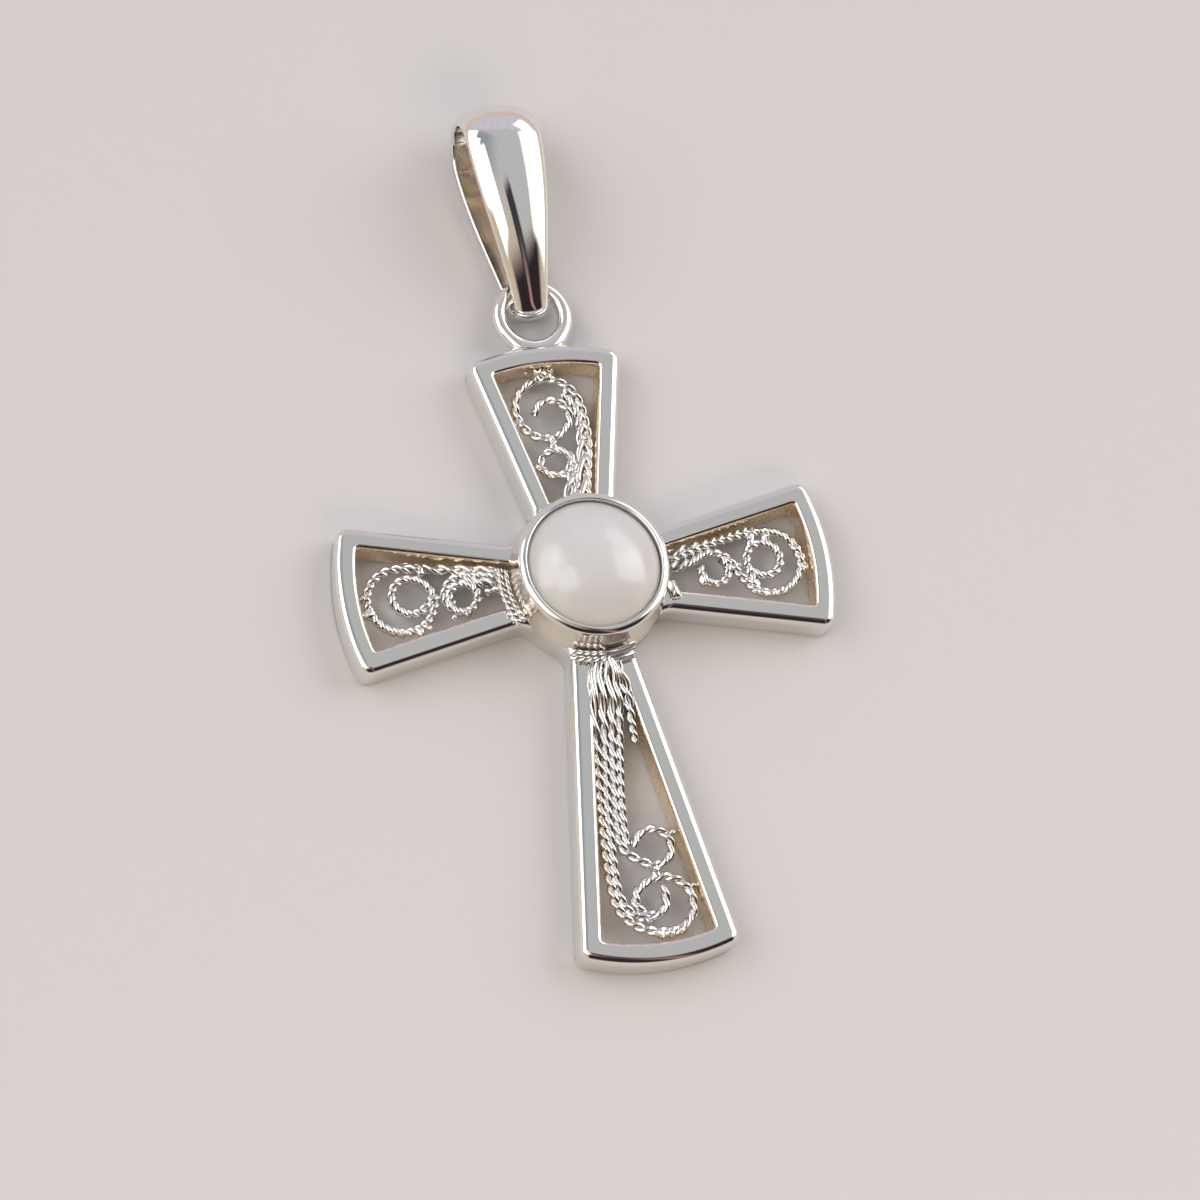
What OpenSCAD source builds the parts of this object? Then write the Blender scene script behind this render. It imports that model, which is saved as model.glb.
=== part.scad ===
// Filigree cross pendant with a round cabochon, lying on its flat back.
// X runs across the arms, Y towards the bail, Z out of the front face.
// The origin is the stone's axis on the flat back.

/* [Frame] */
// Thickness of the frame, from its flat back to its flat front
frame_t = 1.7; // [1.5:0.1:2]
// Width of the rim round each window
rim_w = 1.05; // [0.95:0.05:1.15]
// Radius of the arms' outer corners
corner_r = 0.6; // [0.5:0.05:0.65]
// Rounding of the rim's front outer edge
front_round = 0.4; // [0.4:0.05:0.5]
// Rounding of the rim's back outer edge
back_round = 0.15; // [0.1:0.05:0.2]

/* [Short arms] */
// Distance from the stone's axis to the curved end of a short arm's window
arm_reach = 11.35; // [11:0.05:12]
// Angle that half of a short arm's curved end spans
arm_end_angle = 13.66; // [13.2:0.02:14]
// Angle between a short arm's centre line and its window's sides
arm_flare = 12.6; // [12:0.2:13]

/* [Foot] */
// Distance from the stone's axis to the corners of the foot's window
foot_reach = 18.35; // [18:0.05:19]
// Angle that half of the foot's bowed end spans
foot_end_angle = 16.25; // [16:0.05:16.4]
// Angle between the foot's centre line and its window's sides
foot_flare = 8.8; // [8.6:0.1:9]
// Radius of the bowed end of the foot's window
foot_bow = 10; // [9.9:0.05:10.1]
// Distance from the stone's axis to the centre of the window's round top
foot_apex = 5.85; // [5.7:0.05:6]

/* [Setting] */
// Radius of the hub that the arms meet
hub_r = 3.95; // [3.9:0.05:4.05]
// Height of the bezel's rim above the flat back
bezel_top = 3.4; // [3.2:0.1:3.6]
// Outer radius of the bezel's rim
bezel_r = 3.73; // [3.7:0.01:3.8]
// Radius of the opening that the stone shows through
bezel_open_r = 3.3; // [3.28:0.01:3.34]
// Height of the floor that the stone sits on
seat_z = 0.6; // [0.5:0.05:0.8]

/* [Stone] */
// Radius of the cabochon at its girdle
stone_r = 3.38; // [3.37:0.01:3.39]
// Height of the stone's crown above the flat back
stone_top = 4.7; // [4.4:0.1:5]
// Gap between the stone and the metal round it
stone_gap = 0.04; // [0.03:0.01:0.05]

/* [Ring and bail] */
// Distance from the stone's axis to the centre of the soldered ring
ring_y = 14.25; // [14.2:0.05:14.3]
// Radius of the ring, measured to the middle of its wire
ring_r = 1.66; // [1.62:0.02:1.7]
// Diameter of the ring's wire
ring_wire = 0.7; // [0.66:0.02:0.72]
// Wall of the bail along its edges
bail_wall = 0.42; // [0.4:0.01:0.44]
// How far the bail's front swells out between its edges
bail_crown = 0.44; // [0.36:0.02:0.48]
// Radius of the long bow of the bail's front, from its foot to its top
bail_bow_r = 21; // [18:1:40]
// Width of the bail at its top
bail_top_w = 3.8; // [3.6:0.1:4]
// Width of the bail where it passes through the ring
bail_foot_w = 1.45; // [1.3:0.05:1.6]
// How far the bail leans to the side, seen from the front
bail_lean = 2.7; // [0:0.3:4]

/* [Filigree] */
// Diameter over the two twisted strands of a window's wire
wire_d = 0.48; // [0.44:0.02:0.48]
// How much higher the windows' wires lie next to the hub than at the arms' ends
wire_rise = 0.5; // [0:0.05:0.5]
// Diameter over the two twisted strands of a saddle's wire
saddle_d = 0.4; // [0.36:0.02:0.4]
// Gap between the saddles and the frame
saddle_gap = 0.03; // [0.02:0.01:0.05]

/* [Hidden] */
$fn = 72;
wire_sides = 6;
bead_sides = 6;
arc_step = 18;
link_steps = 5;
saddle_steps = 9;
wire_r = wire_d / 2;
wire_z = frame_t / 2;
// Crossing wires lie this much higher, one after the other
wire_lift = 0.017;
// The wires lie highest up to this distance from the stone's axis, on short arms and foot, and sink over this run
rise_start = 4.25;
foot_rise_start = 5.4;
rise_run = 3.5;
// The arms start at this radius, inside the hub's wall
arm_root_r = 3.6;
root_y = 2.5;
foot_half_w = foot_bow * sin(foot_end_angle);
bezel_wall_r = stone_r + stone_gap;
lip_r = (bezel_r - bezel_open_r) / 2;
lip_z = bezel_top - lip_r;
// Heights where the bezel's wall starts to lean over the stone and where the stone's crown starts
girdle_z = 2.6;
crown_z = 3.2;
crown_r = bezel_open_r - 0.05;

// The bail's two bends: place of the centre along Y, and radius of the inner face
bail_low = [15.05, 0.43];
bail_high = [22.75, 1.6];
// Point that the bail leans about, and the stretch along Y over which it widens
bail_pivot = [-0.08, 15];
bail_widening = [13.4, 9.6];
widening_power = 0.8;
// The band's back corners, how far its front edges roll down, and how full its front is
band_corner = [0.06, 0.08];
band_roll = 0.14;
band_fullness = 2;
// The front starts to swell where the band's outside looks down by this much, over this span, both as sines
swell_start = 0.75;
swell_span = 1.1;
swell_power = 1.2;

// Solder between the ring and the top arm's end: half widths at the arm and at the ring, and overlap with the ring
ring_solder = [1.15, 0.65, 0.1];

// A saddle's two wires lie on an arm against the bezel, over these angles from the arm's centre line
saddle_r = saddle_d / 2;
saddle_rows = [hub_r + saddle_r, hub_r + 2.9 * saddle_r];
saddle_z = frame_t + saddle_gap + saddle_r;
left_saddle = [-9, 30];
foot_saddle = [-22, 22];
// Solder runs from a saddle into the window at these places across the arm, and drops at this distance out
riser_across = [-0.3, 0.34];
left_riser_y = 4.6;
foot_riser_y = 5.4;
// The riser starts this far over the inner wire, and its level and dropping runs have these radii
riser_overlap = 0.12;
riser_level_r = saddle_r * 0.95;
riser_drop_r = saddle_r * 0.75;
riser_dip = 0.03;

// A wire is a row of stops: x, y, radius, angle from, angle to.
// A radius of 0 is a point, and its angle is the wire's heading there.
top_wires = [
  [[0.85, 4.25, 0, 83, 83], [1.62, 8.2, 0, 92, 92], [-0.13, 9.26, 1.64, 30, 215], [-0.02, 8.83, 0.88, 335, 480]],
  [[-0.02, 8.83, 0.88, 455, 530]],
  [[0.6, 4.25, 0, 80, 80], [-0.34, 8.66, 1.66, -5, 52]],
  [[0.35, 4.3, 0, 75, 75], [-0.22, 6.2, 0.82, -15, 200]],
  [[-0.98, 6, 0, -85, -85], [-0.28, 6.2, 0.64, 250, 375]],
  [[-0.1, 4.3, 0, 75, 75], [0.4, 5.7, 0, 62, 62]]
];
left_wires = [
  [[-4.25, 0.72, 0, 165, 165], [-6.5, 1.3, 0, 168, 168], [-9.17, 0.03, 1.65, 85, 345], [-8.7, 0.2, 0.9, 445, 540]],
  [[-8.7, 0.2, 0.9, 515, 695]],
  [[-4.25, 0.85, 0, 167, 167], [-9, 1.91, 0, 168, 168]],
  [[-4.25, 0.53, 0, 165, 165], [-6.1, -0.04, 0.93, 85, 255], [-6.15, -0.2, 0.68, 330, 430]],
  [[-6.15, -0.2, 0.68, 405, 560]],
  [[-4.25, 0.2, 0, 175, 175], [-6, 0.72, 0, 150, 150]],
  [[-4.25, -0.1, 0, 185, 185], [-5.1, -0.2, 0, 188, 188]]
];
right_wires = [
  [[4.25, 0.45, 0, 20, 20], [6.5, 1.24, 0, 16, 16], [8.3, 1.62, 0, 9, 9], [9.37, -0.02, 1.7, 85, -15]],
  [[4.25, 0.75, 0, 18, 18], [6, 1.24, 0, 14, 14], [8.85, 1.88, 0, 11, 11]],
  [[4.25, 0.06, 0, 5, 5], [6.5, -0.3, 1.1, 125, 20], [9.35, 0.05, 1.6, 215, 393]],
  [[8.5, -1, 0, 112, 112], [9.13, 0.22, 0.85, 175, 20]],
  [[9.13, 0.22, 0.85, 45, -150]],
  [[6.5, -0.13, 0.73, 50, -80]],
  [[6.5, -0.13, 0.73, -55, -195]]
];
foot_wires = [
  [[-0.28, -5.4, 0, -110, -110], [-0.84, -7.5, 0, -97, -97], [-1.48, -12.5, 0, -96, -96],
   [0.5, -15.9, 2.15, 180, 225], [0.82, -16.68, 1.38, 265, 465]],
  [[1.2, -15.38, 0, 150, 150], [0.14, -16.4, 0.76, 490, 640]],
  [[0.14, -16.4, 0.76, 615, 725], [0.95, -15.8, 0, 795, 795]],
  [[-0.1, -5.4, 0, -100, -100], [-0.66, -8.5, 0, -98, -98], [-1.18, -12.5, 0, -95, -95],
   [-1.38, -15.4, 0, -92, -92], [-0.95, -16.9, 0, -50, -50], [-0.3, -17.3, 0, -20, -20]],
  [[0.1, -5.4, 0, -97, -97], [-0.3, -8.5, 0, -97, -97], [-0.78, -12.5, 0, -95, -95],
   [-0.86, -13.4, 0, -85, -85], [0.75, -13.8, 0.9, 240, 400]],
  [[0.75, -13.8, 0.9, 375, 470], [-0.25, -13.6, 0, 580, 580]],
  [[0.28, -5.45, 0, -97, -97], [0.03, -8.5, 0, -98, -98], [-0.5, -12.5, 0, -94, -94], [-0.56, -13.6, 0, -92, -92]],
  [[0.3, -5.55, 0, -80, -80], [0.84, -8.6, 0, -84, -84]]
];

// Beads of solder: x, y of one end, x, y of the other end
top_beads = [
  [-0.45, 10.9, -0.35, 11.06], [0.15, 10.9, 0.25, 11.06], [-0.25, 7.1, -0.25, 7.7], [-1.75, 8.7, -1.83, 8.6],
  [-1.05, 6, -1.15, 6.1], [0.95, 10.1, 1.05, 10], [1.45, 7.5, 1.55, 7.5], [0.35, 6.3, 0.5, 6.35]
];
left_beads = [
  [-10.85, 0.25, -11.05, 0.3], [-10.75, -0.5, -11, -0.6], [-9, 1.7, -9, 1.93], [-8, 1.6, -8, 1.35],
  [-7.7, -0.05, -7.55, -0.1], [-7.3, 0, -7.2, 0], [-8.6, -1.6, -8.5, -1.7], [-6.2, -0.95, -6.1, -1.05],
  [-6.9, -0.4, -6.8, -0.4]
];
right_beads = [
  [11, 0.2, 11.05, 0.1], [11, -0.45, 10.97, -0.55], [9.4, 1.2, 9.5, 1.5], [8.6, 1.05, 8.7, 1.5],
  [8.3, -0.9, 8.5, -1.05], [8.6, -1.45, 8.8, -1.55], [7.2, 0.3, 7.35, 0.25], [5.8, -0.55, 5.8, -0.75],
  [7.85, -0.5, 8.2, -0.35]
];
foot_beads = [
  [0.3, -18.05, 0.3, -18.2], [0.8, -18.05, 0.8, -18.2], [1.3, -17.95, 1.35, -18.1], [0.6, -14.75, 0.65, -15.25],
  [1.62, -13.3, 1.66, -13.25], [2.12, -16.2, 2.14, -16.4], [-0.65, -17.1, -0.2, -17.2], [-0.5, -13.6, -0.3, -13.6],
  [-0.7, -16.8, -0.63, -16.62]
];

// Directions and small sums that the wires and the bail share
function unit(v) = v / norm(v);
function turned(r, a) = [r * cos(a), r * sin(a)];
function smooth(u) = let (c = max(0, min(1, u))) c * c * (3 - 2 * c);
function mix(a, b, u) = a + (b - a) * u;

// Point and heading at either end of a stop
function stop_side(s) = s[4] > s[3] ? 1 : -1;
function stop_point(s, a) = s[2] == 0 ? [s[0], s[1]] : [s[0], s[1]] + turned(s[2], a);
function stop_heading(s, a) = s[2] == 0 ? a : a + 90 * stop_side(s);

// A smooth link between two points with given headings, without its ends
function link_turn(h0, h1) = let (d = (h1 - h0) % 360) d > 180 ? d - 360 : d < -180 ? d + 360 : d;
function link_reach(chord, turn) =
  abs(turn) < 1 ? chord / 3 : chord * 2 / 3 * tan(abs(turn) / 4) / sin(abs(turn) / 2);
function link(p, hp, q, hq) =
  let (k = link_reach(norm(q - p), link_turn(hp, hq)), a = p + turned(k, hp), b = q - turned(k, hq))
  [for (i = [1:link_steps - 1]) let (u = i / link_steps, v = 1 - u)
    v * v * v * p + 3 * v * v * u * a + 3 * v * u * u * b + u * u * u * q];
function arc_count(s) = max(2, ceil(abs(s[4] - s[3]) / arc_step));
function stop_points(s) =
  s[2] == 0 ? [[s[0], s[1]]]
  : [for (i = [0:arc_count(s)]) stop_point(s, mix(s[3], s[4], i / arc_count(s)))];
function route(stops) = [
  for (i = [0:len(stops) - 1])
    let (s = stops[i], r = i == 0 ? s : stops[i - 1])
    each concat(
      i == 0 ? [] : link(stop_point(r, r[4]), stop_heading(r, r[4]), stop_point(s, s[3]), stop_heading(s, s[3])),
      stop_points(s))
];

// A round wire swept along points, closed at both ends
module tube(points, r) {
  last = len(points) - 1;
  function ring(i) =
    let (t = unit(points[min(i + 1, last)] - points[max(i - 1, 0)]), n = unit(cross([0, 0, 1], t)), b = cross(t, n))
    [for (k = [0:wire_sides - 1])
      let (a = 360 * (k + 0.5) / wire_sides) points[i] + r * (cos(a) * n + sin(a) * b)];
  polyhedron(
    points = [for (i = [0:last]) each ring(i)],
    faces = concat(
      [[for (k = [0:wire_sides - 1]) k]],
      [for (i = [0:last - 1]) for (k = [0:wire_sides - 1])
        let (m = (k + 1) % wire_sides)
        [i * wire_sides + k, (i + 1) * wire_sides + k, (i + 1) * wire_sides + m, i * wire_sides + m]],
      [[for (k = [wire_sides - 1:-1:0]) last * wire_sides + k]]));
}

// A bead of solder between two places
module bead(from, to, r = wire_r) {
  hull() {
    translate(from) sphere(r, $fn = bead_sides);
    translate(to) sphere(r, $fn = bead_sides);
  }
}

// Two wires laid over an arm's root, round the bezel, with the solder that runs from them down to the window's wires
module saddle(heading, span, reach) {
  rotate(heading) {
    for (r = saddle_rows)
      tube([for (i = [0:saddle_steps])
        let (p = turned(r, mix(span[0], span[1], i / saddle_steps))) [p[0], p[1], saddle_z]], saddle_r);
    for (across = riser_across) {
      bead([saddle_rows[0] + riser_overlap, across, saddle_z], [reach, across, saddle_z], riser_level_r);
      bead([reach, across, saddle_z - riser_dip], [reach, across, wire_z], riser_drop_r);
    }
  }
}

// A window's wires, one soldered onto the other
module panel(wires, beads, start = rise_start) {
  function laid(x, y, lift = 0) =
    [x, y, wire_z + lift + wire_rise * (1 - smooth((norm([x, y]) - start) / rise_run))];
  for (i = [0:len(wires) - 1])
    tube([for (p = route(wires[i])) laid(p[0], p[1], (i - len(wires) / 2) * wire_lift)], wire_r);
  for (b = beads) bead(laid(b[0], b[1]), laid(b[2], b[3]));
}

// Section through the rim, of width w: x runs outwards from the window, y from back to front
module rim_section(w = rim_w) {
  square([w - front_round, frame_t]);
  square([w - back_round, frame_t - front_round]);
  translate([0, back_round]) square([w, frame_t - front_round - back_round]);
  translate([w - front_round, frame_t - front_round]) circle(front_round);
  translate([w - back_round, back_round]) circle(back_round);
}

// An arm's rim, pointing along Y: a bowed end about a centre on the axis, two corners and two straight sides
module arm_rim(end_r, end_angle, centre_y, flare) {
  // The corner's centre, seen from the bow's: how far out from the side's direction, how far away, and its angle,
  // kept to a thousandth of a degree so that corner, bow and side meet in the same places
  out = end_r * sin(end_angle - flare) + rim_w - corner_r;
  far = end_r + rim_w - corner_r;
  angle = round(1000 * (flare + asin(out / far))) / 1000;
  turn = 90 - angle + flare;
  side_length = (centre_y + far * cos(angle) - root_y) / cos(flare);
  for (side = [0, 1]) mirror([side, 0, 0]) {
    intersection() {
      translate([0, centre_y, 0]) rotate(90 - angle) rotate_extrude(angle = angle + 2)
        translate([end_r, 0]) rim_section();
      translate([0, 0, -1]) cube([end_r, 2 * (centre_y + end_r), frame_t + 2]);
    }
    translate([0, centre_y, 0]) rotate(90 - angle) translate([far, 0, 0]) {
      rotate_extrude(angle = -turn) intersection() {
        rim_section(corner_r);
        square([corner_r, frame_t]);
      }
      rotate(-turn) translate([corner_r - rim_w, 0, 0]) rotate([90, 0, 0])
        linear_extrude(side_length) rim_section();
    }
  }
}

module short_arm() {
  arm_rim(arm_reach, arm_end_angle, 0, arm_flare);
}

module foot_arm() {
  function half(y) = foot_half_w - tan(foot_flare) * (foot_reach - y);
  apex_r = half(foot_apex) * cos(foot_flare);
  apex_y = foot_apex - apex_r * sin(foot_flare);
  arm_rim(foot_bow, foot_end_angle, foot_reach - foot_bow * cos(foot_end_angle), foot_flare);
  linear_extrude(frame_t) difference() {
    polygon([
      [-half(root_y) - rim_w / 4, root_y], [half(root_y) + rim_w / 4, root_y],
      [half(apex_y), apex_y], [-half(apex_y), apex_y]]);
    translate([0, foot_apex]) circle(apex_r);
  }
}

// Hub, closed back, bezel wall and rolled rim
module setting() {
  rotate_extrude() {
    difference() {
      polygon([
        [0, 0], [hub_r - back_round, 0], [hub_r, back_round], [hub_r, frame_t],
        [bezel_r, lip_z], [0, lip_z]]);
      polygon([
        [-1, seat_z], [bezel_wall_r, seat_z], [bezel_wall_r, girdle_z], [bezel_open_r, lip_z],
        [bezel_open_r, bezel_top], [-1, bezel_top]]);
    }
    translate([bezel_open_r + lip_r, lip_z]) circle(lip_r);
  }
}

// Ring of round wire on the top arm's end, with the solder that joins them
module soldered_ring() {
  translate([0, ring_y, wire_z]) rotate_extrude() translate([ring_r, 0]) circle(ring_wire / 2);
  translate([0, 0, wire_z - ring_wire / 3]) linear_extrude(ring_wire * 2 / 3)
    let (low = arm_reach + rim_w / 2, high = ring_y - ring_r + ring_solder[2])
    polygon([
      [-ring_solder[0], low], [ring_solder[0], low],
      [ring_solder[1], high], [-ring_solder[1], high]]);
}

module cross_frame() {
  color("silver") union() {
    difference() {
      union() {
        for (a = [0, 90, -90]) rotate(a) short_arm();
        rotate(180) foot_arm();
      }
      translate([0, 0, -1]) cylinder(h = frame_t + 2, r = arm_root_r);
    }
    setting();
    soldered_ring();
  }
}

module stone() {
  dome = stone_top - crown_z;
  dome_r = (crown_r * crown_r + dome * dome) / (2 * dome);
  color("ivory") rotate_extrude() {
    polygon([
      [0, seat_z + stone_gap], [stone_r, seat_z + stone_gap], [stone_r, girdle_z],
      [crown_r, crown_z], [0, crown_z]]);
    intersection() {
      translate([0, stone_top - dome_r]) circle(dome_r);
      translate([0, crown_z - 0.01]) square([crown_r + 1, dome + 1]);
    }
  }
}

// Centre of a bend as y and z, and centre of the front's bow, whose circle runs on into both bends
function bail_centre(c) = [c[0], bail_wall + c[1]];
function bow_centre(p, q, a, b) =
  let (d = norm(q - p), e = (q - p) / d, x = (d * d + a * a - b * b) / (2 * d))
  p + x * e + sqrt(a * a - x * x) * [e[1], -e[0]];
bail_bow = bow_centre(
  bail_centre(bail_low), bail_centre(bail_high), bail_bow_r - bail_low[1], bail_bow_r - bail_high[1]);
function bow_end(c) = let (d = bail_centre(c) - bail_bow) atan2(d[1], d[0]);
// Stations round the bail: y and z of the inner face, and the direction that the face's outside looks in
function bend(centre, r, from, to, steps) =
  [for (i = [0:steps]) let (a = mix(from, to, i / steps)) [centre + turned(r, a), a]];
bail_bottom = bend(bail_centre(bail_low), bail_low[1], bow_end(bail_low), 270, 6);
bail_top = bend(bail_centre(bail_high), bail_high[1], -90, bow_end(bail_high), 12);
bail_front = bend(bail_bow, bail_bow_r, bow_end(bail_high), bow_end(bail_low), 7);
bail_stations = concat(
  bail_bottom,
  [for (i = [1:4]) [mix(bail_bottom[6][0], bail_top[0][0], i / 5), 270]],
  bail_top,
  [for (i = [1:6]) bail_front[i]]);
function bail_width(y) =
  mix(bail_foot_w, bail_top_w, pow(smooth((y - bail_widening[0]) / bail_widening[1]), widening_power));
// The band is flat along the back leg and swells over the top and down the front
function bail_swell(y, a) =
  bail_crown * smooth((sin(a) + swell_start) / swell_span) * pow(bail_width(y) / bail_top_w, swell_power);

// Section of the band: x across it, y out from its inner face
function bail_section(w, swell) = [
  [-w / 2 + band_corner[0], 0], [-w / 2, band_corner[1]],
  for (i = [-4:4]) let (u = sin(22.5 * i)) [w / 2 * u,
    bail_wall + swell * (1 - pow(abs(u), band_fullness)) - (abs(i) == 4 ? band_roll : 0)],
  [w / 2, band_corner[1]], [w / 2 - band_corner[0], 0]
];

module bail() {
  sides = len(bail_section(1, 0));
  count = len(bail_stations);
  points = [
    for (s = bail_stations) for (q = bail_section(bail_width(s[0][0]), bail_swell(s[0][0], s[1])))
      let (p = s[0] + q[1] * turned(1, s[1])) [q[0], p[0], p[1]]
  ];
  color("silver") translate(bail_pivot) rotate(bail_lean) translate([0, -bail_pivot[1], 0])
    polyhedron(points = points, faces = [
      for (i = [0:count - 1]) for (k = [0:sides - 1])
        let (j = (i + 1) % count, m = (k + 1) % sides)
        [i * sides + k, i * sides + m, j * sides + m, j * sides + k]
    ]);
}

module filigree_top() { color("gainsboro") union() panel(top_wires, top_beads); }
module filigree_left() {
  color("gainsboro") union() {
    panel(left_wires, left_beads);
    saddle(180, left_saddle, left_riser_y);
  }
}
module filigree_right() { color("gainsboro") union() panel(right_wires, right_beads); }
module filigree_foot() {
  color("gainsboro") union() {
    panel(foot_wires, foot_beads, foot_rise_start);
    saddle(270, foot_saddle, foot_riser_y);
  }
}

cross_frame();
stone();
bail();
filigree_top();
filigree_left();
filigree_right();
filigree_foot();
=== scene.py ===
"""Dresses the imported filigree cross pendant: polished silver, twisted wire scrolls, a milky stone and a domed bail.

Sizes in the classes are millimetres and degrees, as a maker gives them, and become metres where a mesh is made.
"""

import logging
import math
from contextlib import contextmanager
from dataclasses import dataclass, field
from enum import Enum
from typing import Callable, Iterator, Sequence, Union

import bmesh
import bpy
from mathutils import Euler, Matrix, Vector, kdtree

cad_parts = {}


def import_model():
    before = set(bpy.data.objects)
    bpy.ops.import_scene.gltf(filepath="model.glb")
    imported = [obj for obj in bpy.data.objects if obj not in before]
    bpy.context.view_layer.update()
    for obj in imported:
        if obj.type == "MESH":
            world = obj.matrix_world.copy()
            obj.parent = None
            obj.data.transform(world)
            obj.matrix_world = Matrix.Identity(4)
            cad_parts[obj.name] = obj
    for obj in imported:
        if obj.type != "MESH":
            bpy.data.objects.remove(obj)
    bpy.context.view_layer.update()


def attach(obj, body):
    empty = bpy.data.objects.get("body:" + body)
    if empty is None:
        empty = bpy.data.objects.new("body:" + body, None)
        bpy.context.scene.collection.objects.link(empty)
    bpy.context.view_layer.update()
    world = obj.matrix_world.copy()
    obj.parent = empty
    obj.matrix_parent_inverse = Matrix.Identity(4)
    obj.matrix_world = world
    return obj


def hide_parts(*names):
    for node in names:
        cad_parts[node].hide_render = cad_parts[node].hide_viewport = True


log = logging.getLogger("pendant")
MM = 0.001
MICRON = 1e-6
# Vertices nearer to each other than this, in metres, are one
WELD = 1e-7
Body = bpy.types.Object
Row = tuple[float, ...]
Pair = tuple[float, float]
Point = tuple[float, float, float]
Colour = tuple[float, float, float]
Level = Callable[[Vector], float]


class Window(Enum):
    """The four arms of the cross, each with the direction that it points in."""

    TOP = 90.0
    LEFT = 180.0
    RIGHT = 0.0
    FOOT = 270.0


def turned(radius: float, angle: float) -> Vector:
    """Returns the plane vector of that length and direction in degrees."""
    return Vector((radius * math.cos(math.radians(angle)), radius * math.sin(math.radians(angle))))


def mix(a: float, b: float, share: float) -> float:
    """Returns the value that lies that share of the way from a to b."""
    return a + (b - a) * share


def smooth(share: float) -> float:
    """Returns an even rise from 0 to 1 with soft ends."""
    c = min(1.0, max(0.0, share))
    return c * c * (3 - 2 * c)


def arc(centre: Pair, radius: float, start: float, end: float, steps: int) -> list[Vector]:
    """Lays points along an arc.

    Args:
        centre: the arc's centre.
        radius: its radius.
        start: the angle of the first point.
        end: the angle of the last point.
        steps: the number of equal steps between them.

    Returns:
        The points, both ends included.
    """
    return [Vector(centre) + turned(radius, mix(start, end, i / steps)) for i in range(steps + 1)]


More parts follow.
